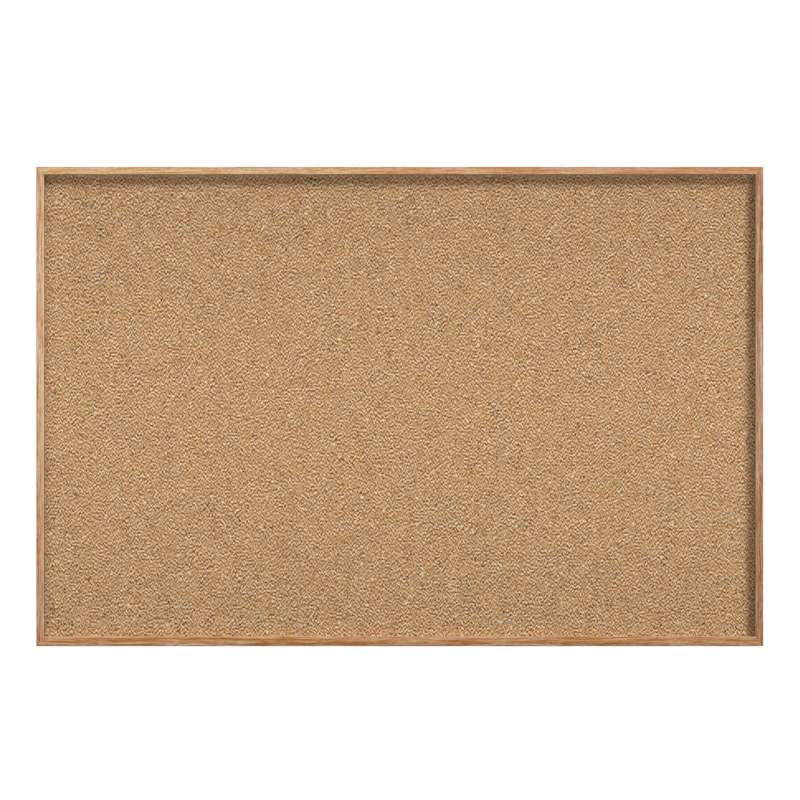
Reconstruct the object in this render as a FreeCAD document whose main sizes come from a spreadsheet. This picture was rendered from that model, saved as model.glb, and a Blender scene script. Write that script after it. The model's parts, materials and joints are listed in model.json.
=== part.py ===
import FreeCAD, Part

# Cork bulletin board, 6 ft by 4 ft class, in a mitred oak frame that hangs on
# two D-rings.  Millimetres.
#
# +X runs along the board's width and +Z is up.  The cork faces -Y and the wall
# is on the +Y side.  The origin is the centre of the whole board's box, from
# the frame's front face to the rear face of the rubber bumpers.
#
# The frame's mouldings share one section: a narrow oak face with a rabbet
# behind it, in which the cork and its fibreboard backer sit.  The bottom rail's
# face is a little wider than the others.  V-nails and flat steel plates hold
# the mitres, and flat points driven into the rabbet's wall hold the panel.

import math
import os

import Sketcher
from FreeCAD import Placement, Rotation, Vector

DIMENSIONS = {
    # the board's outline
    "board_width": "1829",
    "board_height": "1206",
    # the oak moulding's section
    "face_width": "19",
    "bottom_face_width": "23.8",
    "frame_depth": "27",
    "recess_depth": "12",
    "rabbet_width": "6",
    "outer_round": "0.8",
    "inner_round": "1.2",
    "rear_chamfer": "0.8",
    # the panel
    "cork_thickness": "3.2",
    "backer_thickness": "9.5",
    "panel_gap": "0.75",
    # flat points that hold the panel in the rabbet
    "point_length": "16",
    "point_width": "5.6",
    "point_thickness": "0.5",
    "point_tip": "3",
    "point_driven": "8",
    # V-nails, two stacked in each mitre
    "nail_setback": "8.6",
    "nail_leg": "6",
    "nail_gauge": "0.6",
    "nail_depth": "9.5",
    "nail_clearance": "0.4",
    # steel plates behind the mitres
    "plate_leg": "50",
    "plate_width": "9.6",
    "plate_thickness": "1.5",
    "plate_inset": "1.7",
    "plate_end_round": "4.7",
    "plate_heel_round": "3",
    "plate_first_hole": "17",
    "plate_second_hole": "42",
    # countersunk wood screws
    "screw_shank": "3",
    "screw_head": "5.8",
    "screw_length": "12",
    "screw_tip": "3",
    "screw_recess_depth": "1.1",
    "screw_recess_span": "3",
    "screw_recess_slot": "0.8",
    "screw_hole": "3.4",
    "screw_head_room": "0.1",
    # D-ring hangers
    "hanger_drop": "180",
    "hanger_setback": "7.6",
    "strap_width": "8.5",
    "strap_length": "40",
    "strap_gauge": "0.9",
    "strap_slope": "4.2",
    "strap_end_round": "4.2",
    "strap_first_hole": "18",
    "strap_second_hole": "32",
    "barrel_bore": "1.07",
    "ring_wire": "1",
    "ring_half_width": "6.2",
    "ring_corner": "1.6",
    "ring_side": "4.4",
    "ring_rest_angle": "6",
    # rubber bumpers
    "bumper_height": "6",
    "bumper_base": "5",
    "bumper_top": "3.8",
    "bumper_skirt": "1.6",
    "bumper_round": "0.5",
    "bumper_from_end": "80",
    "bumper_setback": "6.5",
}

POINTS_ON_RAIL = 8
POINTS_ON_STILE = 5
SCREWS_PER_PLATE = 4
NAILS_PER_MITRE = 2
SCREWS_PER_STRAP = 2

# Each side of the frame is the top one turned about Y, as seen from the front.
SIDES = {"top_rail": 0, "right_stile": 90, "bottom_rail": 180, "left_stile": 270}
CORNERS = {"top_left": 0, "top_right": 90, "bottom_right": 180, "bottom_left": 270}
POINT_GROUPS = {
    "top_rail": "panel_points_top",
    "right_stile": "panel_points_right",
    "bottom_rail": "panel_points_bottom",
    "left_stile": "panel_points_left",
}

# The width of each side's face, and of the faces that it meets at its two ends
# (the -X end first, before the side is turned to its place).
FACES = {
    "top_rail": "Dims.face_width",
    "right_stile": "Dims.face_width",
    "bottom_rail": "Dims.bottom_face_width",
    "left_stile": "Dims.face_width",
}
NEIGHBOURS = {
    "top_rail": ("left_stile", "right_stile"),
    "right_stile": ("top_rail", "bottom_rail"),
    "bottom_rail": ("right_stile", "left_stile"),
    "left_stile": ("bottom_rail", "top_rail"),
}

# How near an edge lies to a wanted place, and how parallel to an axis.
NEAR = 0.01
PARALLEL = 0.99
# How far a cutting outline runs past the solid that it cuts.
SPARE = "1"

# Depths, as formulas of the sheet's cells.
FRONT = "-(Dims.frame_depth + Dims.bumper_height) / 2"
REAR = "(Dims.frame_depth - Dims.bumper_height) / 2"
CORK_FRONT = f"{FRONT} + Dims.recess_depth"
BACKER_FRONT = f"{CORK_FRONT} + Dims.cork_thickness"
REAR_WOOD = {side: f"({face} - Dims.rabbet_width)" for side, face in FACES.items()}
BARREL_RADIUS = "(Dims.barrel_bore + Dims.strap_gauge)"

doc = FreeCAD.newDocument("cork_bulletin_board")
sheet = doc.addObject("Spreadsheet::Sheet", "Dims")
for row, (alias, text) in enumerate(DIMENSIONS.items(), start=1):
    sheet.set(f"A{row}", alias)
    sheet.set(f"B{row}", text)
    sheet.setAlias(f"B{row}", alias)
doc.recompute()


# ---------------------------------------------------------------- helpers


def value(alias):
    """A driving dimension, as a number."""
    return float(sheet.get(alias))


def origin_plane(body, role):
    return next(plane for plane in body.Origin.OriginFeatures if plane.Role == role)


def new_body(name):
    body = doc.addObject("PartDesign::Body", name)
    body.Label = name
    return body


def new_sketch(body, name, role, offset=None):
    """An empty sketch on one of the body's own origin planes."""
    sketch = body.newObject("Sketcher::SketchObject", name)
    sketch.AttachmentSupport = (origin_plane(body, role), [""])
    sketch.MapMode = "FlatFace"
    if offset:
        sketch.setExpression("AttachmentOffset.Base.z", offset)
    return sketch


def pin_point(sketch, geometry, position, across, up):
    """Fixes a point of the sketch at two formulas, measured from its origin."""
    for kind, formula in (("DistanceX", across), ("DistanceY", up)):
        number = sketch.addConstraint(Sketcher.Constraint(kind, -1, 1, geometry, position, 1.0))
        sketch.setExpression(f"Constraints[{number}]", formula)


def add_polygon(sketch, corners):
    """A closed outline whose corners are pairs of formulas."""
    count = len(corners)
    angles = [2 * math.pi * index / count for index in range(count)]
    seeds = [Vector(math.cos(angle), math.sin(angle), 0) for angle in angles]
    for index in range(count):
        sketch.addGeometry(Part.LineSegment(seeds[index], seeds[(index + 1) % count]))
    for index in range(count):
        joint = Sketcher.Constraint("Coincident", index, 2, (index + 1) % count, 1)
        sketch.addConstraint(joint)
    for index, (across, up) in enumerate(corners):
        pin_point(sketch, index, 1, across, up)


def add_circle(sketch, across, up, radius):
    number = sketch.addGeometry(Part.Circle(Vector(1, 1, 0), Vector(0, 0, 1), 1))
    pin_point(sketch, number, 3, across, up)
    limit = sketch.addConstraint(Sketcher.Constraint("Radius", number, 1.0))
    sketch.setExpression(f"Constraints[{limit}]", radius)


def pad(body, sketch, length, symmetric=False, reverse=False):
    feature = body.newObject("PartDesign::Pad", f"{sketch.Name}_pad")
    feature.Profile = sketch
    feature.SideType = "Symmetric" if symmetric else "One side"
    feature.Reversed = reverse
    feature.setExpression("Length", length)
    return feature


def pocket_through(body, sketch):
    """Cuts the sketch's outline right through, both ways from its plane."""
    feature = body.newObject("PartDesign::Pocket", f"{sketch.Name}_pocket")
    feature.Profile = sketch
    feature.SideType = "Symmetric"
    feature.Type = "ThroughAll"
    return feature


def revolve(body, sketch, axis):
    feature = body.newObject("PartDesign::Revolution", f"{sketch.Name}_turned")
    feature.Profile = sketch
    feature.ReferenceAxis = (sketch, [axis])
    feature.Angle = 360
    return feature


def dress_edges(body, base, kind, name, formula, wanted):
    """Rounds or chamfers those edges of base whose middle passes the test."""
    doc.recompute()
    edges = []
    for index, edge in enumerate(base.Shape.Edges, start=1):
        middle = edge.valueAt((edge.FirstParameter + edge.LastParameter) / 2)
        if wanted(edge, middle):
            edges.append(f"Edge{index}")
    feature = body.newObject(f"PartDesign::{kind}", name)
    feature.Base = (base, edges)
    feature.setExpression("Radius" if kind == "Fillet" else "Size", formula)
    return feature


def runs_in_depth(edge):
    return abs(edge.tangentAt(edge.FirstParameter).y) > PARALLEL


def countersink(body, sketch):
    """Countersunk clearance holes at the sketch's circles, cut towards -Y."""
    doc.recompute()
    feature = body.newObject("PartDesign::Hole", f"{sketch.Name}_drilled")
    feature.Profile = sketch
    doc.recompute()
    feature.Reversed = True
    feature.Threaded = False
    feature.DepthType = "ThroughAll"
    feature.setExpression("Diameter", "Dims.screw_hole")
    feature.HoleCutType = "Countersink"
    feature.HoleCutCustomValues = True
    feature.setExpression("HoleCutDiameter", "Dims.screw_head + Dims.screw_head_room")
    feature.HoleCutCountersinkAngle = 90
    return feature


def place(thing, across, depth, up, turn=None):
    """Binds a position to the sheet, after a turn about one axis."""
    if turn:
        axis, degrees = turn
        thing.Placement = Placement(Vector(), Rotation(axis, degrees))
    for letter, formula in zip("xyz", (across, depth, up)):
        thing.setExpression(f"Placement.Base.{letter}", str(formula))


def group(name, members):
    compound = doc.addObject("Part::Compound", name)
    compound.Label = name
    compound.Links = members
    return compound


def copies(master, name, positions, turn=None):
    """A group of identical pieces, each a link to the one master."""
    links = []
    for number, (across, depth, up) in enumerate(positions, start=1):
        link = doc.addObject("App::Link", f"{name}_{number}")
        link.LinkedObject = master
        place(link, across, depth, up, turn)
        links.append(link)
    return group(name, links)


ABOUT_X = Vector(1, 0, 0)
ABOUT_Y = Vector(0, 1, 0)
ABOUT_Z = Vector(0, 0, 1)
# Turns a screw that was drawn upright so that its head faces the wall.
HEAD_TO_REAR = (ABOUT_X, -90)


def to_side(thing, side):
    """Moves a piece from a side's own frame (outer edge at z = 0, front face
    at y = 0, middle of the side at x = 0) to its place on the board."""
    half_width, half_height = "Dims.board_width / 2", "Dims.board_height / 2"
    across, up = {
        0: ("0", half_height),
        90: (half_width, "0"),
        180: ("0", f"-{half_height}"),
        270: (f"-{half_width}", "0"),
    }[SIDES[side]]
    place(thing, across, FRONT, up, (ABOUT_Y, SIDES[side]))


def to_corner(thing, corner):
    """Moves a piece from the top left corner's frame (board's corner at x = 0
    and z = 0, rear face of the oak at y = 0) to the named corner."""
    vertical, horizontal = corner.split("_")
    across = "-Dims.board_width / 2" if horizontal == "left" else "Dims.board_width / 2"
    up = "-Dims.board_height / 2" if vertical == "bottom" else "Dims.board_height / 2"
    place(thing, across, REAR, up, (ABOUT_Y, CORNERS[corner]))


# ------------------------------------------------------------ oak mouldings


def moulding(side, length):
    """One mitred, rabbeted moulding, before anything is driven into it."""
    body = new_body(f"{side}_blank")
    half = f"{length} / 2"
    inner = f"-{FACES[side]}"
    first, last = (FACES[neighbour] for neighbour in NEIGHBOURS[side])
    outline = new_sketch(body, f"{side}_outline", "XZ_Plane")
    add_polygon(outline, [
        (f"-{half}", "0"),
        (half, "0"),
        (f"{half} - {last}", inner),
        (f"-{half} + {first}", inner),
    ])
    stock = pad(body, outline, "Dims.frame_depth", reverse=True)

    rabbet = new_sketch(body, f"{side}_rabbet", "YZ_Plane")
    add_polygon(rabbet, [
        ("Dims.recess_depth", f"-{REAR_WOOD[side]}"),
        (f"Dims.frame_depth + {SPARE}", f"-{REAR_WOOD[side]}"),
        (f"Dims.frame_depth + {SPARE}", f"{inner} - {SPARE}"),
        ("Dims.recess_depth", f"{inner} - {SPARE}"),
    ])
    cut = pocket_through(body, rabbet)

    depth, face = value("frame_depth"), value(FACES[side].removeprefix("Dims."))
    reach = value("board_height") / 2

    def long_edge(y, z):
        def wanted(edge, middle):
            close = abs(middle.y - y) < NEAR and abs(middle.z - z) < NEAR
            return close and edge.Length > reach
        return wanted

    rounded = dress_edges(body, cut, "Fillet", f"{side}_outer_edge",
                          "Dims.outer_round", long_edge(0, 0))
    rounded = dress_edges(body, rounded, "Fillet", f"{side}_inner_edge",
                          "Dims.inner_round", long_edge(0, -face))
    dress_edges(body, rounded, "Chamfer", f"{side}_rear_edge",
                "Dims.rear_chamfer", long_edge(depth, 0))
    to_side(body, side)
    return body


# -------------------------------------------------------------------- panel


def sheet_of_panel(name, thickness, front):
    """A flat sheet that fills the rabbet but for its running gap."""
    slab = doc.addObject("Part::Box", name)
    slab.Label = name
    walls = {side: f"({wood} + Dims.panel_gap)" for side, wood in REAR_WOOD.items()}
    width = f"Dims.board_width - {walls['left_stile']} - {walls['right_stile']}"
    height = f"Dims.board_height - {walls['top_rail']} - {walls['bottom_rail']}"
    slab.setExpression("Length", width)
    slab.setExpression("Width", thickness)
    slab.setExpression("Height", height)
    left = f"{walls['left_stile']} - Dims.board_width / 2"
    bottom = f"{walls['bottom_rail']} - Dims.board_height / 2"
    place(slab, left, front, bottom)
    return slab


# ---------------------------------------------------------- fastener masters


def screw_master():
    """A countersunk wood screw, upright, with the top of its head at z = 0."""
    body = new_body("screw_master")
    shank = "Dims.screw_shank / 2"
    head = "Dims.screw_head / 2"
    profile = new_sketch(body, "screw_profile", "XZ_Plane")
    add_polygon(profile, [
        ("0", "0"),
        (head, "0"),
        (shank, f"{shank} - {head}"),
        (shank, "Dims.screw_tip - Dims.screw_length"),
        ("0", "-Dims.screw_length"),
    ])
    revolve(body, profile, "V_Axis")

    for role in ("XZ_Plane", "YZ_Plane"):
        slot = new_sketch(body, f"screw_slot_{role[:2]}", role)
        span, slot_depth = "Dims.screw_recess_span / 2", "-Dims.screw_recess_depth"
        add_polygon(slot, [
            (f"-{span}", SPARE),
            (span, SPARE),
            (f"{span} / 2", slot_depth),
            (f"-{span} / 2", slot_depth),
        ])
        feature = body.newObject("PartDesign::Pocket", f"{slot.Name}_pocket")
        feature.Profile = slot
        feature.SideType = "Symmetric"
        feature.setExpression("Length", "Dims.screw_recess_slot")
    return body


def nail_master():
    """A V-nail for the top left mitre: its two legs lie one in each moulding,
    its driven edge is at y = 0 and it goes in towards -Y."""
    body = new_body("v_nail_master")
    outline = new_sketch(body, "v_nail_outline", "XZ_Plane")
    apex = "Dims.nail_setback"
    inner = f"{apex} - Dims.nail_gauge"
    tip = f"{apex} - Dims.nail_leg"
    add_polygon(outline, [
        (apex, f"-({apex})"),
        (tip, f"-({apex})"),
        (tip, f"-({inner})"),
        (inner, f"-({inner})"),
        (inner, f"-({tip})"),
        (apex, f"-({tip})"),
    ])
    pad(body, outline, "Dims.nail_depth")
    return body


def point_master():
    """A flat framing point: its blade enters the wood above z = 0, and its
    tail lies on the panel's back below."""
    body = new_body("panel_point_master")
    outline = new_sketch(body, "panel_point_outline", "XZ_Plane")
    half = "Dims.point_width / 2"
    tail = "Dims.point_driven - Dims.point_length"
    shoulder = "Dims.point_driven - Dims.point_tip"
    add_polygon(outline, [
        (f"-{half}", tail),
        (half, tail),
        (half, shoulder),
        ("0", "Dims.point_driven"),
        (f"-{half}", shoulder),
    ])
    pad(body, outline, "Dims.point_thickness", reverse=True)
    return body


# ----------------------------------------------------------- fastener groups


def points_for(side, count, length):
    """The points along one side, evenly spaced over its sight edge."""
    first, last = (FACES[neighbour] for neighbour in NEIGHBOURS[side])
    spacing = f"({length} - {first} - {last}) / {count}"
    middle = f"({first} - {last}) / 2"
    depth = "Dims.recess_depth + Dims.cork_thickness + Dims.backer_thickness"
    places = []
    for index in range(count):
        steps = index - (count - 1) / 2
        places.append((f"{middle} + ({steps}) * {spacing}", depth, f"-{REAR_WOOD[side]}"))
    points = copies(panel_point, POINT_GROUPS[side], places)
    to_side(points, side)
    return points


def nails_for(corner):
    """A mitre's V-nails, one behind the other.  The bottom mitres are steeper,
    so there the nails sit a little further up to keep their apex on the line."""
    rise = "Dims.nail_setback * (Dims.bottom_face_width / Dims.face_width - 1)"
    shifts = {"bottom_left": (rise, "0"), "bottom_right": ("0", f"-{rise}")}
    across, up = shifts.get(corner, ("0", "0"))
    places = []
    for layer in range(NAILS_PER_MITRE):
        depth = f"-Dims.nail_clearance - {layer} * (Dims.nail_depth + Dims.nail_clearance)"
        places.append((across, depth, up))
    nails = copies(v_nail, f"v_nails_{corner}", places)
    to_corner(nails, corner)
    return nails


def plate_hole_places():
    """The centres of a plate's four holes, from its corner of the board."""
    middle = "Dims.plate_inset + Dims.plate_width / 2"
    near, far = (f"Dims.plate_inset + Dims.plate_{n}_hole" for n in ("first", "second"))
    return [
        (near, f"-({middle})"),
        (far, f"-({middle})"),
        (middle, f"-({near})"),
        (middle, f"-({far})"),
    ]


def plate_screws_for(corner):
    places = [(across, "Dims.plate_thickness", up) for across, up in plate_hole_places()]
    screws = copies(screw, f"corner_plate_screws_{corner}", places, HEAD_TO_REAR)
    to_corner(screws, corner)
    return screws


# -------------------------------------------------------------- steel pieces


def corner_plate(corner):
    """A flat steel angle that lies on the oak behind a mitre."""
    name = f"corner_plate_{corner}"
    body = new_body(name)
    outline = new_sketch(body, f"{name}_outline", "XZ_Plane")
    near = "Dims.plate_inset"
    far = "Dims.plate_inset + Dims.plate_leg"
    inner = "Dims.plate_inset + Dims.plate_width"
    add_polygon(outline, [
        (near, f"-({near})"),
        (far, f"-({near})"),
        (far, f"-({inner})"),
        (inner, f"-({inner})"),
        (inner, f"-({far})"),
        (near, f"-({far})"),
    ])
    flat = pad(body, outline, "Dims.plate_thickness", reverse=True)

    inset, reach = value("plate_inset"), value("plate_inset") + value("plate_leg")

    def at_leg_end(edge, middle):
        return runs_in_depth(edge) and max(middle.x, -middle.z) > reach - NEAR

    def at_heel(edge, middle):
        return runs_in_depth(edge) and max(middle.x, -middle.z) < inset + NEAR

    ends = dress_edges(body, flat, "Fillet", f"{name}_ends",
                       "Dims.plate_end_round", at_leg_end)
    dress_edges(body, ends, "Fillet", f"{name}_heel", "Dims.plate_heel_round", at_heel)

    holes = new_sketch(body, f"{name}_holes", "XZ_Plane", "-Dims.plate_thickness")
    for across, up in plate_hole_places():
        add_circle(holes, across, up, "Dims.screw_hole / 2")
    countersink(body, holes)
    to_corner(body, corner)
    return body


def hanger_place(thing, hand, turn=None):
    """Puts a hanger piece with its pin axis at the barrel of that side."""
    sign = "-" if hand == "left" else ""
    across = f"{sign}(Dims.board_width / 2 - Dims.hanger_setback)"
    depth = f"{REAR} + {BARREL_RADIUS}"
    place(thing, across, depth, "Dims.board_height / 2 - Dims.hanger_drop", turn)


def hanger_strap(hand):
    """A doubled steel strap, folded round the ring's bar and screwed below it.
    Its own frame has the bar's axis along X and the oak at y = -radius."""
    name = f"{hand}_hanger_strap"
    body = new_body(name)
    oak = f"-{BARREL_RADIUS}"
    top = f"2 * Dims.strap_gauge - {BARREL_RADIUS}"
    side = new_sketch(body, f"{name}_side", "YZ_Plane")
    add_polygon(side, [
        (oak, "0"),
        (oak, "-Dims.strap_length"),
        (top, "-Dims.strap_length"),
        (top, "-Dims.strap_slope"),
        (BARREL_RADIUS, "0"),
    ])
    leaf = pad(body, side, "Dims.strap_width", symmetric=True)
    end = -value("strap_length")

    def at_end(edge, middle):
        return runs_in_depth(edge) and abs(middle.z - end) < NEAR

    dress_edges(body, leaf, "Fillet", f"{name}_end", "Dims.strap_end_round", at_end)
    barrel = new_sketch(body, f"{name}_barrel", "YZ_Plane")
    add_circle(barrel, "0", "0", BARREL_RADIUS)
    pad(body, barrel, "Dims.strap_width", symmetric=True)
    bore = new_sketch(body, f"{name}_bore", "YZ_Plane")
    add_circle(bore, "0", "0", "Dims.barrel_bore")
    pocket_through(body, bore)

    holes = new_sketch(body, f"{name}_holes", "XZ_Plane", f"-({top})")
    for which in ("first", "second"):
        add_circle(holes, "0", f"-Dims.strap_{which}_hole", "Dims.screw_hole / 2")
    countersink(body, holes)
    hanger_place(body, hand)
    return body


def hanger_screws(hand):
    depth = f"2 * Dims.strap_gauge - {BARREL_RADIUS}"
    places = [("0", depth, f"-Dims.strap_{n}_hole") for n in ("first", "second")]
    screws = copies(screw, f"{hand}_hanger_screws", places, HEAD_TO_REAR)
    hanger_place(screws, hand)
    return screws


def hanger_ring(hand):
    """A D of round wire: a straight bar on the X axis, two short sides and a
    half-round bow below.  It hangs a few degrees off the strap it rests on."""
    name = f"{hand}_hanger_ring"
    flat_half = "(Dims.ring_half_width - Dims.ring_corner)"
    pieces = []

    def straight(label, length, across, up, turn=None):
        rod = doc.addObject("Part::Cylinder", f"{name}_{label}")
        rod.setExpression("Radius", "Dims.ring_wire")
        rod.setExpression("Height", length)
        place(rod, across, "0", up, turn)
        pieces.append(rod)

    def bend(label, radius, sweep, start, across, up):
        """An arc of wire in the XZ plane, from start degrees on."""
        arc = doc.addObject("Part::Torus", f"{name}_{label}")
        arc.setExpression("Radius1", radius)
        arc.setExpression("Radius2", "Dims.ring_wire")
        arc.Angle3 = sweep
        upright = Rotation(ABOUT_X, 90).multiply(Rotation(ABOUT_Z, start))
        place(arc, across, "0", up, (upright.Axis, math.degrees(upright.Angle)))
        pieces.append(arc)

    straight("bar", f"2 * {flat_half}", f"-{flat_half}", "0", (ABOUT_Y, 90))
    bend("right_corner", "Dims.ring_corner", 90, 0, flat_half, "-Dims.ring_corner")
    bend("left_corner", "Dims.ring_corner", 90, 90, f"-{flat_half}", "-Dims.ring_corner")
    low = "-(Dims.ring_corner + Dims.ring_side)"
    straight("right_side", "Dims.ring_side", "Dims.ring_half_width", low)
    straight("left_side", "Dims.ring_side", "-Dims.ring_half_width", low)
    bend("bow", "Dims.ring_half_width", 180, 180, "0", low)

    ring = doc.addObject("Part::MultiFuse", name)
    ring.Label = name
    ring.Shapes = pieces
    ring.Refine = True
    hanger_place(ring, hand, (ABOUT_X, value("ring_rest_angle")))
    ring.setExpression("Placement.Rotation.Angle", "Dims.ring_rest_angle")
    return ring


def bumper(corner):
    """A stuck-on rubber foot: a short skirt, then a taper to a flat rear face."""
    name = f"bumper_{corner}"
    body = new_body(name)
    profile = new_sketch(body, f"{name}_profile", "XY_Plane")
    add_polygon(profile, [
        ("0", "0"),
        ("Dims.bumper_base", "0"),
        ("Dims.bumper_base", "Dims.bumper_skirt"),
        ("Dims.bumper_top", "Dims.bumper_height"),
        ("0", "Dims.bumper_height"),
    ])
    turned = revolve(body, profile, "V_Axis")
    skirt, crown = value("bumper_skirt"), value("bumper_height")

    def rim(edge, middle):
        at_rim = min(abs(middle.y - skirt), abs(middle.y - crown)) < NEAR
        return at_rim and edge.Closed

    dress_edges(body, turned, "Fillet", f"{name}_rims", "Dims.bumper_round", rim)
    vertical, horizontal = corner.split("_")
    right = "" if horizontal == "right" else "-"
    upper = "" if vertical == "top" else "-"
    across = f"{right}(Dims.board_width / 2 - Dims.bumper_from_end)"
    up = f"{upper}(Dims.board_height / 2 - Dims.bumper_setback)"
    place(body, across, REAR, up)
    return body


# ----------------------------------------------------------------- the board

screw = screw_master()
v_nail = nail_master()
panel_point = point_master()

# Every piece that is written out, with the number of solids it must have.
sub_parts = {}

sub_parts["cork_sheet"] = (
    sheet_of_panel("cork_sheet", "Dims.cork_thickness", CORK_FRONT), 1)
sub_parts["fibreboard_backer"] = (
    sheet_of_panel("fibreboard_backer", "Dims.backer_thickness", BACKER_FRONT), 1)

driven_at_corner = {}
for corner_name in CORNERS:
    v_nails = nails_for(corner_name)
    plate_screws = plate_screws_for(corner_name)
    driven_at_corner[corner_name] = [v_nails, plate_screws]
    sub_parts[v_nails.Label] = (v_nails, NAILS_PER_MITRE)
    sub_parts[plate_screws.Label] = (plate_screws, SCREWS_PER_PLATE)
    sub_parts[f"corner_plate_{corner_name}"] = (corner_plate(corner_name), 1)
    sub_parts[f"bumper_{corner_name}"] = (bumper(corner_name), 1)

driven_in_stile = {}
for hand_name in ("left", "right"):
    strap_screws = hanger_screws(hand_name)
    driven_in_stile[f"{hand_name}_stile"] = strap_screws
    sub_parts[strap_screws.Label] = (strap_screws, SCREWS_PER_STRAP)
    sub_parts[f"{hand_name}_hanger_strap"] = (hanger_strap(hand_name), 1)
    sub_parts[f"{hand_name}_hanger_ring"] = (hanger_ring(hand_name), 1)

CORNERS_OF_SIDE = {
    "top_rail": ("top_left", "top_right"),
    "right_stile": ("top_right", "bottom_right"),
    "bottom_rail": ("bottom_left", "bottom_right"),
    "left_stile": ("top_left", "bottom_left"),
}

for side_name in SIDES:
    upright = side_name.endswith("stile")
    side_length = "Dims.board_height" if upright else "Dims.board_width"
    point_count = POINTS_ON_STILE if upright else POINTS_ON_RAIL
    blank = moulding(side_name, side_length)
    side_points = points_for(side_name, point_count, side_length)
    sub_parts[side_points.Label] = (side_points, point_count)

    driven = [side_points]
    for corner_name in CORNERS_OF_SIDE[side_name]:
        driven.extend(driven_at_corner[corner_name])
    if upright:
        driven.append(driven_in_stile[side_name])
    finished = doc.addObject("Part::Cut", side_name)
    finished.Label = side_name
    finished.Base = blank
    finished.Tool = group(f"{side_name}_driven", driven)
    sub_parts[side_name] = (finished, 1)

doc.recompute()


# ----------------------------------------------------- checks, then the files


def stop_if(problem, text):
    if problem:
        raise SystemExit(text)


for thing in doc.Objects:
    failed = [state for state in thing.State if state in ("Invalid", "Error")]
    stop_if(failed, f"{thing.Label} did not compute: {failed}")
    if thing.TypeId in ("PartDesign::Pocket", "PartDesign::Hole"):
        removed = thing.BaseFeature.Shape.Volume - thing.Shape.Volume
        stop_if(removed <= 0, f"{thing.Label} cuts nothing")

os.makedirs("parts", exist_ok=True)
for name, (thing, solids) in sub_parts.items():
    shape = thing.Shape
    stop_if(shape.isNull() or not shape.isValid(), f"{name} has no valid shape")
    stop_if(len(shape.Solids) != solids, f"{name} has {len(shape.Solids)} solids")

for name, (thing, solids) in sub_parts.items():
    thing.Shape.exportStep(os.path.join("parts", f"{name}.step"))
    print(f"{name}: {solids} solids, {thing.Shape.Volume / 1000:.2f} cm3")
print(f"{len(sub_parts)} sub-parts")
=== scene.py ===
import json
import math

import bpy
import numpy as np
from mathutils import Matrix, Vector


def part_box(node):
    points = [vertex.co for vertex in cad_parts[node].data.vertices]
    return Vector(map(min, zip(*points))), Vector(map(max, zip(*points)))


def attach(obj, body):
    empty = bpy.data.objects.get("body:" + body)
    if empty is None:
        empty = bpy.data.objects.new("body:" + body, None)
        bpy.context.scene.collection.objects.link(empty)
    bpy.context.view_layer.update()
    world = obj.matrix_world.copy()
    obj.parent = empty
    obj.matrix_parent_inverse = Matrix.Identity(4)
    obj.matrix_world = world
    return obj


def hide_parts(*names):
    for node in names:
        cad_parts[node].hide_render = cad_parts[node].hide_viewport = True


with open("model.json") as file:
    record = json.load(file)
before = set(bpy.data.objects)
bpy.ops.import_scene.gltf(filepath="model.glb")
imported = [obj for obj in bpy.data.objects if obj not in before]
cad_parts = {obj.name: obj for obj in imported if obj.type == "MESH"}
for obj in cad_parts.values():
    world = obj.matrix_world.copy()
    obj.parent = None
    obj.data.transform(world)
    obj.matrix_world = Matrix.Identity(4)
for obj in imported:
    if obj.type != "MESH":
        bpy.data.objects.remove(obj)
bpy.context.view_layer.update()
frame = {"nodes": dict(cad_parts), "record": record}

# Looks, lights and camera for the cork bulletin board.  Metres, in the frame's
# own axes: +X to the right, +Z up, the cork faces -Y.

MM = 0.001

# ------------------------------------------------------------ places to use

RAILS = ("top_rail", "bottom_rail")
STILES = ("left_stile", "right_stile")
face_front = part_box("top_rail")[0].y
board_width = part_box("top_rail")[1].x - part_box("top_rail")[0].x


def size_of(node):
    low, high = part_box(node)
    return high - low


face_widths = {member: size_of(member).z for member in RAILS}
face_widths.update({member: size_of(member).x for member in STILES})
# What each member meets at its right or upper end, and at its other end.
MITRED_TO = {
    "top_rail": ("right_stile", "left_stile"),
    "bottom_rail": ("right_stile", "left_stile"),
    "left_stile": ("top_rail", "bottom_rail"),
    "right_stile": ("top_rail", "bottom_rail"),
}


# ---------------------------------------------------------- material helper


def paint(red, green, blue):
    """A colour as its linear value, from the 0 to 255 values of a paint chart."""
    def linear(level):
        share = level / 255
        if share <= 0.04045:
            return share / 12.92
        return ((share + 0.055) / 1.055) ** 2.4
    return (linear(red), linear(green), linear(blue), 1.0)


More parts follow.
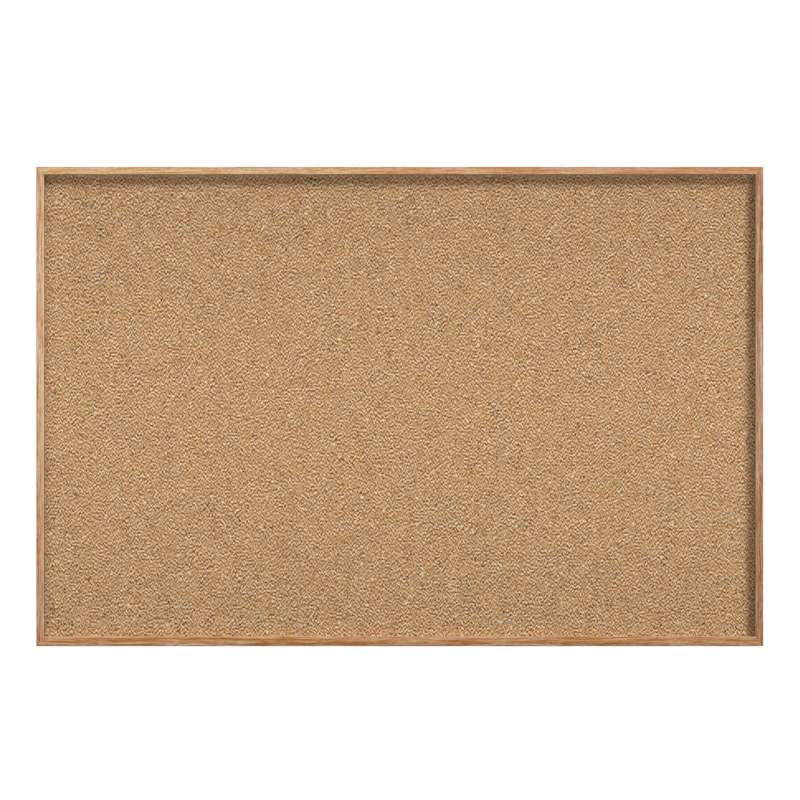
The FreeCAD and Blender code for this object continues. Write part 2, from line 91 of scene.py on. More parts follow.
class Shader:
    """One material on the Principled shader, with short calls that add nodes."""

    def __init__(self, name, **constants):
        self.material = bpy.data.materials.new(name)
        self.material.use_nodes = True
        self.tree = self.material.node_tree
        self.surface = self.tree.nodes["Principled BSDF"]
        for socket, setting in constants.items():
            self.surface.inputs[socket.replace("_", " ")].default_value = setting
        self.place = self.add("ShaderNodeTexCoord").outputs["Object"]
        split = self.add("ShaderNodeSeparateXYZ")
        self.feed(split.inputs[0], self.place)
        self.x, self.y, self.z = split.outputs

    def add(self, kind, **settings):
        node = self.tree.nodes.new(kind)
        for name, setting in settings.items():
            setattr(node, name, setting)
        return node

    def feed(self, socket, source):
        """Joins a socket to another node, or sets it to a constant."""
        if isinstance(source, bpy.types.NodeSocket):
            self.tree.links.new(source, socket)
        else:
            socket.default_value = source

    def output(self, socket, source):
        self.feed(self.surface.inputs[socket], source)

    def math(self, operation, *sources):
        node = self.add("ShaderNodeMath", operation=operation)
        for socket, source in zip(node.inputs, sources):
            self.feed(socket, source)
        return node.outputs[0]

    def plus(self, *sources):
        total = sources[0]
        for source in sources[1:]:
            total = self.math("ADD", total, source)
        return total

    def minus(self, first, second):
        return self.math("SUBTRACT", first, second)

    def times(self, first, second):
        return self.math("MULTIPLY", first, second)

    def vector(self, across, depth, up):
        node = self.add("ShaderNodeCombineXYZ")
        for socket, source in zip(node.inputs, (across, depth, up)):
            self.feed(socket, source)
        return node.outputs[0]

    def vector_math(self, operation, first, second):
        node = self.add("ShaderNodeVectorMath", operation=operation)
        self.feed(node.inputs[0], first)
        self.feed(node.inputs[1], second)
        return node.outputs[0]

    def moved(self, place, shift):
        return self.vector_math("ADD", place, shift)

    def stretched(self, place, scale):
        return self.vector_math("MULTIPLY", place, scale)

    def warped(self, place, scale, amount):
        """A place pushed about by noise, so that shapes there turn irregular."""
        node = self.add("ShaderNodeTexNoise")
        self.feed(node.inputs["Vector"], place)
        node.inputs["Scale"].default_value = scale
        push = self.moved(node.outputs["Color"], (-0.5, -0.5, -0.5))
        return self.moved(place, self.stretched(push, (amount, amount, amount)))

    def noise(self, place, scale=1.0, detail=2.0, warp=0.0):
        node = self.add("ShaderNodeTexNoise")
        self.feed(node.inputs["Vector"], place)
        node.inputs["Scale"].default_value = scale
        node.inputs["Detail"].default_value = detail
        node.inputs["Distortion"].default_value = warp
        return node.outputs[0]

    def cells(self, place, scale, feature="F1"):
        """Voronoi cells: a distance, and for F1 one random colour for each cell."""
        node = self.add("ShaderNodeTexVoronoi", feature=feature)
        self.feed(node.inputs["Vector"], place)
        node.inputs["Scale"].default_value = scale
        return node.outputs["Distance"], node.outputs.get("Color")

    def channels(self, colour):
        node = self.add("ShaderNodeSeparateColor")
        self.feed(node.inputs[0], colour)
        return node.outputs

    def between(self, source, low, high, start=0.0, end=1.0):
        """start below low, end above high, and a smooth step between them."""
        node = self.add("ShaderNodeMapRange", interpolation_type="SMOOTHSTEP")
        for socket, setting in zip(node.inputs, (source, low, high, start, end)):
            self.feed(socket, setting)
        return node.outputs[0]

    def ramp(self, source, *stops):
        """A colour for each of several values of source, blended between."""
        node = self.add("ShaderNodeValToRGB")
        self.feed(node.inputs[0], source)
        elements = node.color_ramp.elements
        while len(elements) < len(stops):
            elements.new(0.5)
        for element, (position, colour) in zip(elements, stops):
            element.position = position
            element.color = colour
        return node.outputs[0]

    def mix(self, share, first, second, blend="MIX"):
        node = self.add("ShaderNodeMix", data_type="RGBA", blend_type=blend)
        colours = [socket for socket in node.inputs if socket.type == "RGBA"]
        self.feed(node.inputs[0], share)
        self.feed(colours[0], first)
        self.feed(colours[1], second)
        return next(socket for socket in node.outputs if socket.type == "RGBA")

    def tinted(self, colour, tint):
        return self.mix(1.0, colour, tint, "MULTIPLY")

    def bump(self, height, depth):
        """Height from 0 to 1, over a depth in metres."""
        node = self.add("ShaderNodeBump")
        node.inputs["Distance"].default_value = depth
        self.feed(node.inputs["Height"], height)
        self.output("Normal", node.outputs[0])


# ---------------------------------------------------------------------- oak

# The oak's colours: pale wood, its streaks, how much of the face the streaks
# take, how far they gather at the outer edge, how fine they are, the tint of
# the far end (the right end of a rail, the lower end of a stile), how much of
# the lip's rounded edge takes what colour (a painted highlight, on the bottom
# rail painted shade), and the tint of the wall behind it at the near and at the
# far end.  The tints of the far end and of the wall are partly painted shade:
# the left stile's wall is very dark for that.
LIP_HIGHLIGHT = (246, 226, 204)
LIP_SHADE = (120, 84, 52)
OAK_LOOKS = {
    "top_rail": dict(
        pale=(249, 223, 179), streak=(218, 150, 78), share=0.45, lean=0.0, fine=1.0,
        far_end=(0.83, 0.69, 0.66), lip=(0.0, LIP_HIGHLIGHT), wall=(0.95, 0.95)),
    "bottom_rail": dict(
        pale=(228, 199, 162), streak=(179, 107, 16), share=0.55, lean=0.25, fine=1.4,
        far_end=(0.93, 0.88, 0.86), lip=(0.5, LIP_SHADE), wall=(0.76, 0.82)),
    "left_stile": dict(
        pale=(240, 214, 178), streak=(204, 116, 22), share=0.42, lean=0.35, fine=1.0,
        far_end=(0.78, 0.70, 0.67), lip=(0.1, LIP_HIGHLIGHT), wall=(0.33, 0.15)),
    "right_stile": dict(
        pale=(221, 190, 155), streak=(170, 92, 4), share=0.5, lean=0.0, fine=1.1,
        far_end=(0.90, 0.87, 0.81), lip=(0.9, LIP_HIGHLIGHT), wall=(0.85, 1.0)),
}
PORE_BROWN = paint(104, 68, 40)
OUTER_EDGE_BROWN = paint(150, 104, 62)
GLUE_BROWN = paint(78, 50, 30)
PORE_SHARE, OUTER_EDGE_SHARE, GLUE_SHARE = 0.55, 0.35, 0.6
WOOD_RELIEF = 0.12 * MM

# The pith that the growth rings go round, from the face's outer front edge.
PITH_ACROSS, PITH_DEPTH = 26 * MM, 55 * MM
PITH_WANDER = 14 * MM
WANDER_ALONG = 2.6
# Each layer of the grain: how fast it varies along the moulding and across it.
BAND = (9.0, 900.0)
FLAME = (45.0, 1400.0)
DASH = (90.0, 1500.0)
FIBRE = (22.0, 1500.0)
HAIR = (40.0, 5200.0)
PORE = (95.0, 2300.0)
# The streaks: what counts in their figure, how it leans to the outer edge, how
# their share of the face moves the edge between streak and pale wood, and how
# soft that edge is.
BAND_PART, FLAME_PART = 0.65, 0.35
LEAN_PART = 0.22
EDGE_MIDDLE, EDGE_PER_SHARE = 0.5, 0.28
STREAK_SOFTNESS = 0.06
# The even colour of the sides and back, and the depths where it comes in.
EVEN_PALE, EVEN_DARK = 0.55, 0.45
EVEN_SHARE = 0.6
FACE_ENDS, SIDE_STARTS = 2 * MM, 8 * MM
DASH_FROM, DASH_TO = 0.5, 0.68
DASH_SHARE, DASH_SHADE = 0.65, 0.92
PORE_FROM, PORE_TO = 0.66, 0.74
# Tints over the wood, from the low to the high values of their noise.
FIBRE_TINTS = ((0.3, (0.86, 0.83, 0.80, 1)), (0.7, (1.1, 1.11, 1.12, 1)))
HAIR_TINTS = ((0.3, (0.84, 0.80, 0.76, 1)), (0.7, (1.08, 1.09, 1.10, 1)))
FLAME_TINTS = ((0.25, (0.90, 0.87, 0.84, 1)), (0.75, (1.08, 1.12, 1.16, 1)))
# Bands: the darker rounded outer edge, the lip's rounded edge with its painted highlight
# (painted shade on the bottom rail), and the depth where the wall behind it, with its painted
# shade, begins.
OUTER_EDGE_BAND = (2.6 * MM, 0.8 * MM)
LIP_EDGE = (1.4 * MM, 0.3 * MM)
LIP_DEPTH = (0.8 * MM, 2.2 * MM)
GLUE_LINE = 0.22 * MM


class Oak(Shader):
    """One member of plain-sawn oak, its grain along it, under satin varnish."""

    def __init__(self, member, seed):
        super().__init__(f"oak_{member}", Coat_Weight=0.25, Coat_Roughness=0.3)
        self.member = member
        self.seed = seed
        self.look = OAK_LOOKS[member]
        self.face = face_widths[member]
        low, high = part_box(member)
        if member in RAILS:
            self.along, self.half_length = self.x, high.x
            to_far = self.along
        else:
            self.along, self.half_length = self.z, high.z
            to_far = self.times(self.along, -1.0)
        self.far = self.between(to_far, -self.half_length, self.half_length)
        self.depth = self.minus(self.y, low.y)
        self.across = {
            "top_rail": lambda: self.minus(high.z, self.z),
            "bottom_rail": lambda: self.minus(self.z, low.z),
            "left_stile": lambda: self.minus(self.x, low.x),
            "right_stile": lambda: self.minus(high.x, self.x),
        }[member]()
        self.ring = self.growth_rings()

    def growth_rings(self):
        """The distance from a pith that wanders along the moulding."""
        wander = self.noise(
            self.vector(self.times(self.along, WANDER_ALONG), self.seed, 0.0), detail=3.0)
        away = self.math("SQRT", self.plus(
            self.math("POWER", self.plus(self.across, PITH_ACROSS), 2.0),
            self.math("POWER", self.plus(self.depth, PITH_DEPTH), 2.0)))
        return self.plus(away, self.times(wander, PITH_WANDER))

    def ringed(self, layer, fine=1.0, detail=2.0):
        """Noise that follows the growth rings."""
        along, across = layer
        return self.noise(
            self.vector(self.times(self.along, along), self.times(self.ring, across * fine),
                        self.seed), detail=detail)

    def stringy(self, layer, detail=2.0):
        """Noise that follows the fibres."""
        along, across = layer
        return self.noise(
            self.vector(self.times(self.along, along), self.times(self.across, across),
                        self.times(self.depth, across)), detail=detail)

    def streaks(self, flame):
        """Dark latewood: 1 in a streak and 0 in the pale wood."""
        outwards = self.minus(0.5, self.times(self.across, 1 / self.face))
        lean = self.times(outwards, LEAN_PART * self.look["lean"])
        band = self.ringed(BAND, self.look["fine"])
        figure = self.plus(self.times(band, BAND_PART), self.times(flame, FLAME_PART), lean)
        edge = EDGE_MIDDLE + EDGE_PER_SHARE * (0.5 - self.look["share"])
        return self.between(figure, edge - STREAK_SOFTNESS, edge + STREAK_SOFTNESS)

    def wood(self, streak, flame, fibre, pore):
        """The bare wood's colour; its sides and back are calmer than its face."""
        pale, dark = self.look["pale"], self.look["streak"]
        even = [EVEN_PALE * light + EVEN_DARK * deep for light, deep in zip(pale, dark)]
        dash = self.between(self.ringed(DASH), DASH_FROM, DASH_TO)
        colour = self.mix(streak, paint(*pale), paint(*dark))
        colour = self.mix(self.times(dash, DASH_SHARE), colour,
                          paint(*(DASH_SHADE * level for level in dark)))
        beside = self.between(self.depth, FACE_ENDS, SIDE_STARTS, 0.0, EVEN_SHARE)
        colour = self.mix(beside, colour, paint(*even))
        far_end = self.tinted(colour, (*self.look["far_end"], 1.0))
        colour = self.mix(self.far, colour, far_end)
        colour = self.tinted(colour, self.ramp(fibre, *FIBRE_TINTS))
        colour = self.tinted(colour, self.ramp(self.stringy(HAIR), *HAIR_TINTS))
        colour = self.tinted(colour, self.ramp(flame, *FLAME_TINTS))
        return self.mix(self.times(pore, PORE_SHARE), colour, PORE_BROWN)

    def edges_and_painted_light(self, colour):
        """A darker rounded outer edge, a painted highlight on the lip (painted shade on the
        bottom rail), and painted shade on the wall behind it.
        """
        outer_edge = self.between(self.plus(self.across, self.depth), *OUTER_EDGE_BAND)
        colour = self.mix(self.times(outer_edge, OUTER_EDGE_SHARE), colour, OUTER_EDGE_BROWN)
        # The lip's rounded edge takes a painted highlight, on the bottom rail painted shade.
        inner = self.between(self.across, *(self.face - inset for inset in LIP_EDGE))
        behind = self.between(self.depth, *LIP_DEPTH)
        lip = self.times(inner, self.minus(1.0, behind))
        lip_share, lip_colour = self.look["lip"]
        colour = self.mix(self.times(lip, lip_share), colour, paint(*lip_colour))
        # Painted shade on the wall behind the lip, from its near to its far end.
        tint = self.between(self.far, 0.0, 1.0, *self.look["wall"])
        tint = self.plus(1.0, self.times(self.times(inner, behind), self.minus(tint, 1.0)))
        return self.tinted(colour, self.vector(tint, tint, tint))

    def glue(self):
        """1 on the thin glue lines of the two mitres."""
        ends = []
        for end_sign, neighbour in zip((1.0, -1.0), MITRED_TO[self.member]):
            to_end = self.minus(self.half_length, self.times(self.along, end_sign))
            slope = face_widths[neighbour] / self.face
            ends.append(self.minus(to_end, self.times(self.across, slope)))
        from_mitre = self.math("ABSOLUTE", self.math("MINIMUM", *ends))
        return self.between(from_mitre, GLUE_LINE, 0.0)

    def finished(self):
        """Joins the layers into the material."""
        flame = self.ringed(FLAME, self.look["fine"], detail=1.5)
        streak = self.streaks(flame)
        fibre = self.stringy(FIBRE)
        pore = self.between(
            self.plus(self.stringy(PORE, detail=1.0), self.times(streak, 0.06)),
            PORE_FROM, PORE_TO)
        glue = self.glue()
        colour = self.edges_and_painted_light(self.wood(streak, flame, fibre, pore))
        self.output("Base Color", self.mix(self.times(glue, GLUE_SHARE), colour, GLUE_BROWN))
        self.output("Roughness", self.plus(0.4, self.times(pore, 0.3), self.times(fibre, 0.12)))
        hollow = self.plus(self.times(pore, 0.6), glue)
        self.bump(self.minus(self.times(fibre, 0.35), hollow), WOOD_RELIEF)
        return self.material


# --------------------------------------------------------------------- cork

# The cork's crumbs are finer than its granules, and are painted as if lit from
# above: painted light where one stands higher than the places around it, mostly
# the one above, and painted shade where it stands lower.
CRUMB_SCALE = 240.0
CRUMB_FALL = 5.2 * MM
CRUMB_AROUND = {(0, 1): 0.62, (0, -1): 0.2, (1, 0): 0.09, (-1, 0): 0.09}
CRUMB_CONTRAST = (1.33, 2.32)

GRANULE_ACROSS = 3.4 * MM
SEAM_EDGE = (0.12, 0.02)
WARP_SCALE, WARP_AMOUNT = 420.0, 3.2 * MM
# Noise scales: the fine grain, pale and dark patches, patches of stronger and
# weaker crumbs, and patches of redder and cooler cork.
GRAIN_SCALE, PATCH_SCALE, COARSE_SCALE = 1100.0, 28.0, 34.0
RED_SCALE, COOL_SCALE = 45.0, 38.0
# How much each counts in the cork's tone, beside the crumbs.
GRANULE_PART, GRAIN_PART, PATCH_PART = 0.26, 0.25, 0.14
TANS = (
    (0.0, paint(106, 58, 19)),
    (0.25, paint(156, 108, 60)),
    (0.5, paint(198, 156, 110)),
    (0.75, paint(234, 197, 153)),
    (1.0, paint(255, 232, 193)),
)
REDDER = (1.06, 0.94, 0.86, 1)
COOLER = (0.965, 1.01, 1.13, 1)
ORANGE_GRANULE = paint(206, 146, 92)
GREY_GRANULE = paint(178, 152, 124)
SEAM_BROWN = paint(110, 70, 36)
RED_SHARE, COOL_SHARE, ORANGE_SHARE, GREY_SHARE = 0.6, 0.9, 0.4, 0.3

# Scattered dots: how far apart, where from, the share of places that have one,
# and its radius as a share of the distance between them.
PITS = (7.0 * MM, (1, 4, 2), 0.32, 0.31)
FLECKS = (8.0 * MM, (7, 2, 5.004), 0.08, 0.32)
CHIPS = (14.0 * MM, (2, 9, 6), 0.1, 0.3)
SPECKS = (9.0 * MM, (7, 2, 5), 0.13, 0.34)
PIT_BROWN = paint(62, 36, 19)
FLECK_CREAM = paint(250, 228, 184)
BARK = paint(44, 26, 16)
SEAM_SHARE, PIT_SHARE, CREAM_SHARE, BARK_SHARE = 0.2, 0.9, 0.75, 0.85
CRUMB_RELIEF = 1.0 * MM

# Bands along the frame: painted shade beside the stiles and over the bottom
# rail, a painted shadow in the top right corner where two shadows meet, and
# painted light right under the top rail.  For each: how far in it starts, how
# far in it is full, and its strength.
PAINTED_SHADE_LEFT = (30 * MM, 0.0, 0.12)
PAINTED_SHADE_RIGHT = (31 * MM, 21 * MM, 0.10)
PAINTED_SHADE_BELOW = (12 * MM, 0.0, 0.10)
CORNER_ACROSS, CORNER_DOWN, CORNER_SHADOW_SHARE = (22 * MM, 8 * MM), (32 * MM, 14 * MM), 0.3
PAINTED_LIGHT_ABOVE = (9 * MM, 2 * MM, 0.3)
PAINTED_SHADE_BROWN = paint(60, 48, 36)
PAINTED_LIGHT_CORK = paint(244, 204, 160)


def crumb_heights(s):
    """The crumbs' height, and how far each place stands above those around it: their painted
    light and shade.
    """
    def height(across, up):
        place = s.moved(s.place, Vector((across, 0, up)) * CRUMB_FALL)
        return s.noise(place, CRUMB_SCALE, detail=0.5)

    near = height(0, 0)
    around = s.plus(*(s.times(height(*way), weight) for way, weight in CRUMB_AROUND.items()))
    return near, s.minus(near, around)


def scattered(s, place, dots):
    """1 in each dot and 0 elsewhere, with a soft edge."""
    apart, shift, share, radius = dots
    away, lot = s.cells(s.moved(place, Vector(shift)), 1 / apart)
    picked = s.between(s.channels(lot)[0], 1 - share, 1 - 0.6 * share)
    return s.times(picked, s.between(away, radius, 0.55 * radius))


def painted_light_along_frame(s, colour):
    """Painted shade along the frame, a painted shadow in the top right corner, and painted light
    right under the top rail.
    """
    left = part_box("left_stile")[1].x
    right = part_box("right_stile")[0].x
    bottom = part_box("bottom_rail")[1].z
    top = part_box("top_rail")[0].z

    def rising(way, edge, inwards, start, full):
        return s.between(way, edge + inwards * start, edge + inwards * full)

    def band(way, edge, inwards, place):
        start, full, strength = place
        return s.times(rising(way, edge, inwards, start, full), strength)

    corner = s.times(rising(s.x, right, -1, *CORNER_ACROSS), rising(s.z, top, -1, *CORNER_DOWN))
    # Painted shade in the bands along the frame and in the top right corner.
    dust_and_painted_shade = s.plus(
        band(s.x, left, 1, PAINTED_SHADE_LEFT),
        band(s.x, right, -1, PAINTED_SHADE_RIGHT),
        band(s.z, bottom, 1, PAINTED_SHADE_BELOW),
        s.times(corner, CORNER_SHADOW_SHARE))
    colour = s.mix(dust_and_painted_shade, colour, PAINTED_SHADE_BROWN)
    # Painted light in a band right under the top rail.
    return s.mix(band(s.z, top, -1, PAINTED_LIGHT_ABOVE), colour, PAINTED_LIGHT_CORK)


def cork_material():
    """Pressed cork granules: mottled tans, pits, dark bark specks, cream flecks."""
    s = Shader("cork", Specular_IOR_Level=0.2)
    near, crumb_light_and_shade = crumb_heights(s)
    uneven = s.warped(s.place, WARP_SCALE, WARP_AMOUNT)
    _, granule = s.cells(uneven, 1 / GRANULE_ACROSS)
    from_seam, _ = s.cells(uneven, 1 / GRANULE_ACROSS, feature="DISTANCE_TO_EDGE")
    seam = s.between(from_seam, *SEAM_EDGE)
    tone_each, hue_each = s.channels(granule)[:2]
    grain = s.noise(s.place, GRAIN_SCALE)
    patch = s.noise(s.place, PATCH_SCALE)
    coarse = s.noise(s.moved(s.place, (5, 3, 8)), COARSE_SCALE)
    red_patch = s.noise(s.moved(s.place, (3, 1, 2)), RED_SCALE)
    cool_patch = s.noise(s.moved(s.place, (8, 6, 4)), COOL_SCALE)
    tone = s.plus(
        0.5,
        s.times(crumb_light_and_shade, s.between(coarse, 0.3, 0.7, *CRUMB_CONTRAST)),
        s.times(s.minus(tone_each, 0.5), GRANULE_PART),
        s.times(s.minus(grain, 0.5), GRAIN_PART),
        s.times(s.minus(patch, 0.5), PATCH_PART))
    colour = s.ramp(tone, *TANS)
    colour = s.mix(s.times(s.between(red_patch, 0.48, 0.64), RED_SHARE), colour,
                   s.tinted(colour, REDDER))
    colour = s.mix(s.times(s.between(cool_patch, 0.48, 0.62), COOL_SHARE), colour,
                   s.tinted(colour, COOLER))
    orange, grey = s.between(hue_each, 0.75, 0.95), s.between(hue_each, 0.2, 0.05)
    colour = s.mix(s.times(orange, ORANGE_SHARE), colour, ORANGE_GRANULE)
    colour = s.mix(s.times(grey, GREY_SHARE), colour, GREY_GRANULE)

    pit = scattered(s, uneven, PITS)
    cream = s.math("MAXIMUM", scattered(s, uneven, FLECKS), scattered(s, uneven, CHIPS))
    speck = scattered(s, uneven, SPECKS)
    colour = s.mix(s.times(seam, SEAM_SHARE), colour, SEAM_BROWN)
    colour = s.mix(s.times(pit, PIT_SHARE), colour, PIT_BROWN)
    colour = s.mix(s.times(cream, CREAM_SHARE), colour, FLECK_CREAM)
    colour = s.mix(s.times(speck, BARK_SHARE), colour, BARK)
    s.output("Base Color", painted_light_along_frame(s, colour))
    s.output("Roughness", s.plus(0.82, s.times(grain, 0.15)))
    hollow = s.plus(s.times(pit, 0.4), s.times(seam, 0.15))
    s.bump(s.minus(s.plus(s.times(near, 0.8), s.times(grain, 0.25)), hollow), CRUMB_RELIEF)
    return s.material


# The cork's relief, which is in its mesh.
GRANULE = 5.0 * MM
JITTER = 0.3 * GRANULE
RELIEF = 0.5 * MM
RELIEF_SPREAD = (1.6, 2.2)
SEED = 41


def cork_piece(material):
    """The cork sheet with an uneven, granular face; its edges run under the oak."""
    low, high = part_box("cork_sheet")
    columns = round((high.x - low.x) / GRANULE)
    rows = round((high.z - low.z) / GRANULE)
    random = np.random.default_rng(SEED)
    across, up = np.meshgrid(np.linspace(low.x, high.x, columns + 1),
                             np.linspace(low.z, high.z, rows + 1))
    jitter = random.uniform(-JITTER, JITTER, (2, rows - 1, columns - 1))
    across[1:-1, 1:-1] += jitter[0]
    up[1:-1, 1:-1] += jitter[1]
    sunk = random.beta(*RELIEF_SPREAD, across.shape) * RELIEF
    front = np.stack([across, low.y + sunk, up], axis=-1).reshape(-1, 3)

    number = np.arange((rows + 1) * (columns + 1)).reshape(rows + 1, columns + 1)
    quads = np.stack([number[:-1, :-1], number[:-1, 1:], number[1:, 1:], number[1:, :-1]],
                     axis=-1).reshape(-1, 4)
    rim = np.concatenate([number[0, :-1], number[:-1, -1], number[-1, :0:-1], number[:0:-1, 0]])
    back = front[rim].copy()
    back[:, 1] = high.y
    behind = np.arange(len(rim)) + len(front)
    sides = np.stack([rim, behind, np.roll(behind, -1), np.roll(rim, -1)], axis=-1)
    faces = quads.tolist() + sides.tolist() + [behind[::-1].tolist()]
    mesh = bpy.data.meshes.new("cork_sheet_granules")
    mesh.from_pydata(np.concatenate([front, back]).tolist(), [], faces)
    mesh.polygons.foreach_set("use_smooth", [index < len(quads) for index in range(len(faces))])
    mesh.update()
    mesh.validate()
    piece = bpy.data.objects.new("cork_sheet_granules", mesh)
    bpy.context.scene.collection.objects.link(piece)
    mesh.materials.append(material)
    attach(piece, "board")
    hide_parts("cork_sheet")


# ------------------------------------------------------- the other materials

SCREEN_PITCH = 2.4 * MM
FIBREBOARD_BROWNS = (
    (0.36, paint(128, 98, 68)),
    (0.52, paint(176, 145, 108)),
    (0.7, paint(205, 178, 142)),
)
# Chips fill the cells whose random number passes this, out to this radius.
CHIP_PICKED = (0.86, 0.95)
CHIP_EDGE = (0.45, 0.2)
DARK_CHIP = paint(92, 64, 42)
PALE_SLIVER = paint(226, 204, 168)
SCREEN_BROWN = paint(112, 86, 60)


def fibreboard_material():
    """Grey-brown wood-fibre board, with the print of the screen it dried on."""
    s = Shader("fibreboard", Specular_IOR_Level=0.25)
    fibre = s.noise(s.stretched(s.place, (260, 260, 900)), detail=3.0, warp=1.5)
    crossing = s.noise(s.stretched(s.place, (900, 260, 260)), detail=3.0, warp=1.5)
    blotch = s.noise(s.place, 14.0, detail=3.0)
    tone = s.plus(s.times(fibre, 0.45), s.times(crossing, 0.45), s.times(blotch, 0.1))
    colour = s.ramp(tone, *FIBREBOARD_BROWNS)

    def chips(scale, channel):
        """A few of the cells at this scale, as chips that lie in the board."""
        away, lot = s.cells(s.stretched(s.place, scale), 1.0)
        picked = s.between(s.channels(lot)[channel], *CHIP_PICKED)
        return s.times(picked, s.between(away, *CHIP_EDGE))

    colour = s.mix(s.times(chips((90, 200, 200), 0), 0.6), colour, DARK_CHIP)
    colour = s.mix(s.times(chips((220, 200, 80), 1), 0.5), colour, PALE_SLIVER)
    wires = [s.math("SINE", s.times(way, 2 * math.pi / SCREEN_PITCH)) for way in (s.x, s.z)]
    screen = s.times(s.plus(*wires), 0.25)
    printed = s.times(s.between(screen, 0.0, 0.5), 0.18)
    s.output("Base Color", s.mix(printed, colour, SCREEN_BROWN))
    s.output("Roughness", s.plus(0.84, s.times(fibre, 0.14)))
    s.bump(s.plus(s.times(tone, 0.8), s.times(screen, 0.3)), 0.45 * MM)
    return s.material


DULL_MARK = paint(120, 118, 114)
# Brushing: how fast the rolling lines vary along X, Y and Z.
LINES_ALONG_X = (40, 40, 1400)
LINES_ALONG_Z = (1400, 40, 40)
NO_LINES = (1500, 1500, 1500)
DRAWN_WIRE = (900, 900, 900)


def metal_material(name, colour, tint, rough, brush=LINES_ALONG_X, wear=0.12):
    """Plated steel: rolling lines, cloudy plating and a few duller marks."""
    s = Shader(name, Metallic=1.0)
    lines = s.noise(s.stretched(s.place, brush))
    cloud = s.noise(s.place, 120.0, detail=3.0)
    mark = s.between(s.noise(s.place, 420.0), 0.6, 0.72)
    tone = s.mix(s.between(cloud, 0.35, 0.7), paint(*colour), paint(*tint))
    s.output("Base Color", s.mix(s.times(mark, 0.35), tone, DULL_MARK))
    s.output("Roughness", s.plus(rough, s.times(lines, wear), s.times(mark, 0.12)))
    s.bump(s.plus(lines, s.times(cloud, 0.5)), 0.03 * MM)
    return s.material


RUBBER_BLACK = paint(36, 36, 38)
RUBBER_DUST = paint(112, 106, 98)


def rubber_material():
    """Moulded black rubber, a little dusty on its flat end."""
    s = Shader("rubber", Specular_IOR_Level=0.35)
    pebble = s.noise(s.place, 2200.0)
    dust_and_painted_shade = s.noise(s.place, 500.0, detail=3.0)
    base_y, tip_y = (corner.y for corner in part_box("bumper_top_left"))
    end = s.between(s.y, base_y + 0.8 * (tip_y - base_y), tip_y)
    amount = s.times(s.between(dust_and_painted_shade, 0.42, 0.7), s.plus(0.18, s.times(end, 0.3)))
    s.output("Base Color", s.mix(amount, RUBBER_BLACK, RUBBER_DUST))
    s.output("Roughness", s.plus(0.58, s.times(pebble, 0.25)))
    s.bump(pebble, 0.06 * MM)
    return s.material


# --------------------------------------------------------- dress the frame

SEED_STEP = 3.7

finishes = {
    "fibreboard": fibreboard_material(),
    "plate_steel": metal_material("zinc_plate", (176, 178, 182), (196, 194, 184), 0.3),
    "screw_steel": metal_material(
        "zinc_screw", (190, 190, 190), (206, 200, 184), 0.26, brush=NO_LINES),
    "fastener_steel": metal_material("bright_steel", (150, 152, 156), (170, 168, 164), 0.34),
    "strap_steel": metal_material(
        "nickel_strap", (200, 195, 184), (214, 208, 194), 0.24, brush=LINES_ALONG_Z),
    "ring_steel": metal_material(
        "nickel_ring", (206, 203, 196), (218, 213, 202), 0.14, brush=DRAWN_WIRE, wear=0.08),
    "rubber": rubber_material(),
}
for number, member in enumerate((*RAILS, *STILES)):
    finishes[member] = Oak(member, SEED_STEP * (number + 1)).finished()

for subpart in frame["record"]["subparts"]:
    name, slot = subpart["node"], subpart["material_slot"]
    if name == "cork_sheet":
        continue
    node = frame["nodes"][name]
    finish = finishes[name] if slot == "oak" else finishes[slot]
    if not node.material_slots:
        node.data.materials.append(finish)
    for place in node.material_slots:
        place.material = finish

cork_piece(cork_material())


# ----------------------------------------------------------- floor and light

WHITE = (1, 1, 1, 1)
SURROUND = 0.13
FLOOR_GREY = paint(172, 172, 172)
FLOOR_GLOW = 0.36
FLOOR_BELOW = 1.5
FLOOR_RADIUS = 30.0
FLOOR_CORNERS = 96
# The pale floor shows up to here from its middle, and plain white from there.
FLOOR_CLEAR = (1.5, 2.3)

# Each sun: the way its light travels, its strength, and its width in radians.
KEY = ((-21.5, 12, -29), 4.88, 0.26)
LEFT_FILL = ((16, 19, -1), 0.63, 1.0)
REAR_FILL = ((5, -20, -8), 3.5, 2.2)
SUN_AWAY = 3.0

# The strip is a long low lamp right in front of the board.
STRIP_DISTANCE = 0.92
STRIP_HEIGHT = 0.02
STRIP_ENERGY = 8.0
STRIP_SIZE = (5.0, 0.1)


def camera_only(tree, camera, other):
    """Mixes two shaders: one for what the camera sees, the other for lighting."""
    path = tree.nodes.new("ShaderNodeLightPath")
    mixer = tree.nodes.new("ShaderNodeMixShader")
    tree.links.new(path.outputs["Is Camera Ray"], mixer.inputs[0])
    tree.links.new(other, mixer.inputs[1])
    tree.links.new(camera, mixer.inputs[2])
    return mixer.outputs[0]


def surroundings():
    """White to the camera, a dimmer even light to the object."""
    world = bpy.data.worlds.new("studio")
    bpy.context.scene.world = world
    world.use_nodes = True
    tree = world.node_tree
    tree.nodes.clear()
    lit = tree.nodes.new("ShaderNodeBackground")
    lit.inputs["Color"].default_value = WHITE
    lit.inputs["Strength"].default_value = SURROUND
    seen = tree.nodes.new("ShaderNodeBackground")
    seen.inputs["Color"].default_value = WHITE
    out = tree.nodes.new("ShaderNodeOutputWorld")
    tree.links.new(camera_only(tree, seen.outputs[0], lit.outputs[0]), out.inputs[0])


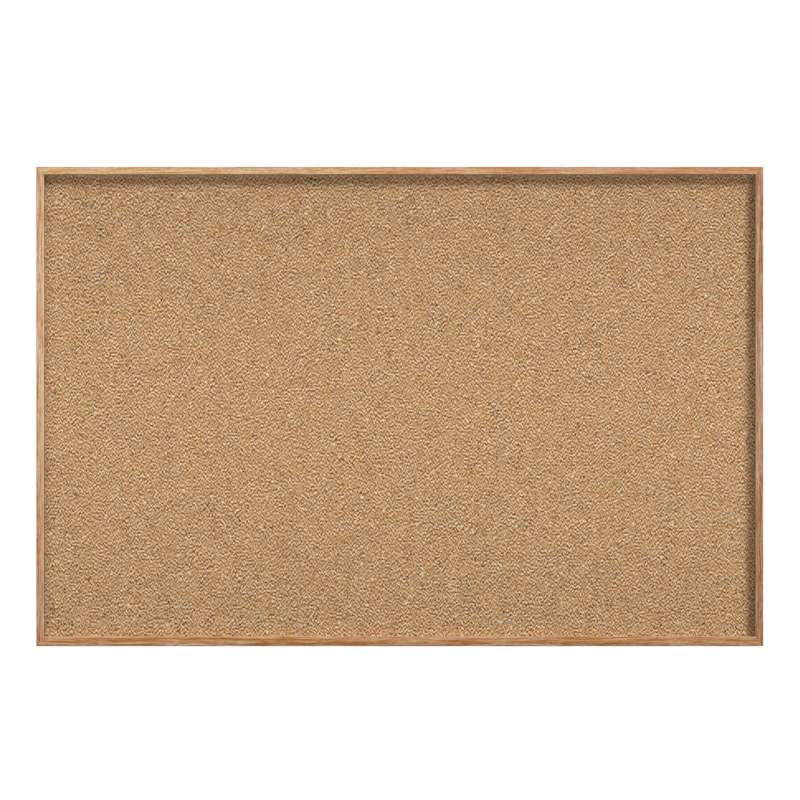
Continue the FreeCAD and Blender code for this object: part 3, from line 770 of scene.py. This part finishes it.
def floor_material():
    """Pale matt floor that turns to plain white away from the board."""
    s = Shader("floor_pale", Roughness=0.9, Emission_Color=WHITE, Emission_Strength=FLOOR_GLOW)
    s.output("Base Color", FLOOR_GREY)
    white = s.add("ShaderNodeEmission")
    away = s.math("SQRT", s.plus(s.times(s.x, s.x), s.times(s.y, s.y)))
    mixer = s.add("ShaderNodeMixShader")
    s.feed(mixer.inputs[0], s.between(away, *FLOOR_CLEAR))
    s.feed(mixer.inputs[1], s.surface.outputs[0])
    s.feed(mixer.inputs[2], white.outputs[0])
    even = s.add("ShaderNodeEmission")
    even.inputs["Strength"].default_value = SURROUND
    shown = camera_only(s.tree, mixer.outputs[0], even.outputs[0])
    s.feed(s.tree.nodes["Material Output"].inputs[0], shown)
    return s.material


def floor():
    mesh = bpy.data.meshes.new("floor")
    angles = np.linspace(0, 2 * math.pi, FLOOR_CORNERS, endpoint=False)
    corners = [(math.cos(angle) * FLOOR_RADIUS, math.sin(angle) * FLOOR_RADIUS, -FLOOR_BELOW)
               for angle in angles]
    mesh.from_pydata(corners, [], [range(len(corners))])
    mesh.materials.append(floor_material())
    disc = bpy.data.objects.new("floor", mesh)
    bpy.context.scene.collection.objects.link(disc)


def lamp(name, kind, place, towards, energy, **settings):
    """A lamp that the camera doesn't see."""
    data = bpy.data.lights.new(name, kind)
    data.energy = energy
    for key, setting in settings.items():
        setattr(data, key, setting)
    light = bpy.data.objects.new(name, data)
    light.location = place
    light.rotation_euler = (Vector(towards) - Vector(place)).to_track_quat("-Z", "Y").to_euler()
    light.visible_camera = False
    bpy.context.scene.collection.objects.link(light)


def sun(name, travel, strength, width):
    lamp(name, "SUN", -Vector(travel).normalized() * SUN_AWAY, (0, 0, 0), strength, angle=width)


surroundings()
floor()
sun("key", *KEY)
sun("left_fill", *LEFT_FILL)
lamp("front_strip", "AREA", (0, face_front - STRIP_DISTANCE, STRIP_HEIGHT), (0, 0, STRIP_HEIGHT),
     STRIP_ENERGY, shape="RECTANGLE", size=STRIP_SIZE[0], size_y=STRIP_SIZE[1])
sun("rear_fill", *REAR_FILL)

# ------------------------------------------------------------------- camera

LENS, SENSOR = 85.0, 36.0
SHARE_OF_PICTURE = 0.9088
CAMERA_ASIDE, CAMERA_ABOVE = 0.5 * MM, 16.4 * MM

camera_data = bpy.data.cameras.new("camera")
camera_data.lens = LENS
camera_data.sensor_width = SENSOR
camera = bpy.data.objects.new("camera", camera_data)
distance = board_width / SHARE_OF_PICTURE * LENS / SENSOR
camera.location = (CAMERA_ASIDE, face_front - distance, CAMERA_ABOVE)
camera.rotation_euler = (math.radians(90), 0, 0)
bpy.context.scene.collection.objects.link(camera)
bpy.context.scene.camera = camera
bpy.context.scene.view_settings.view_transform = "Standard"
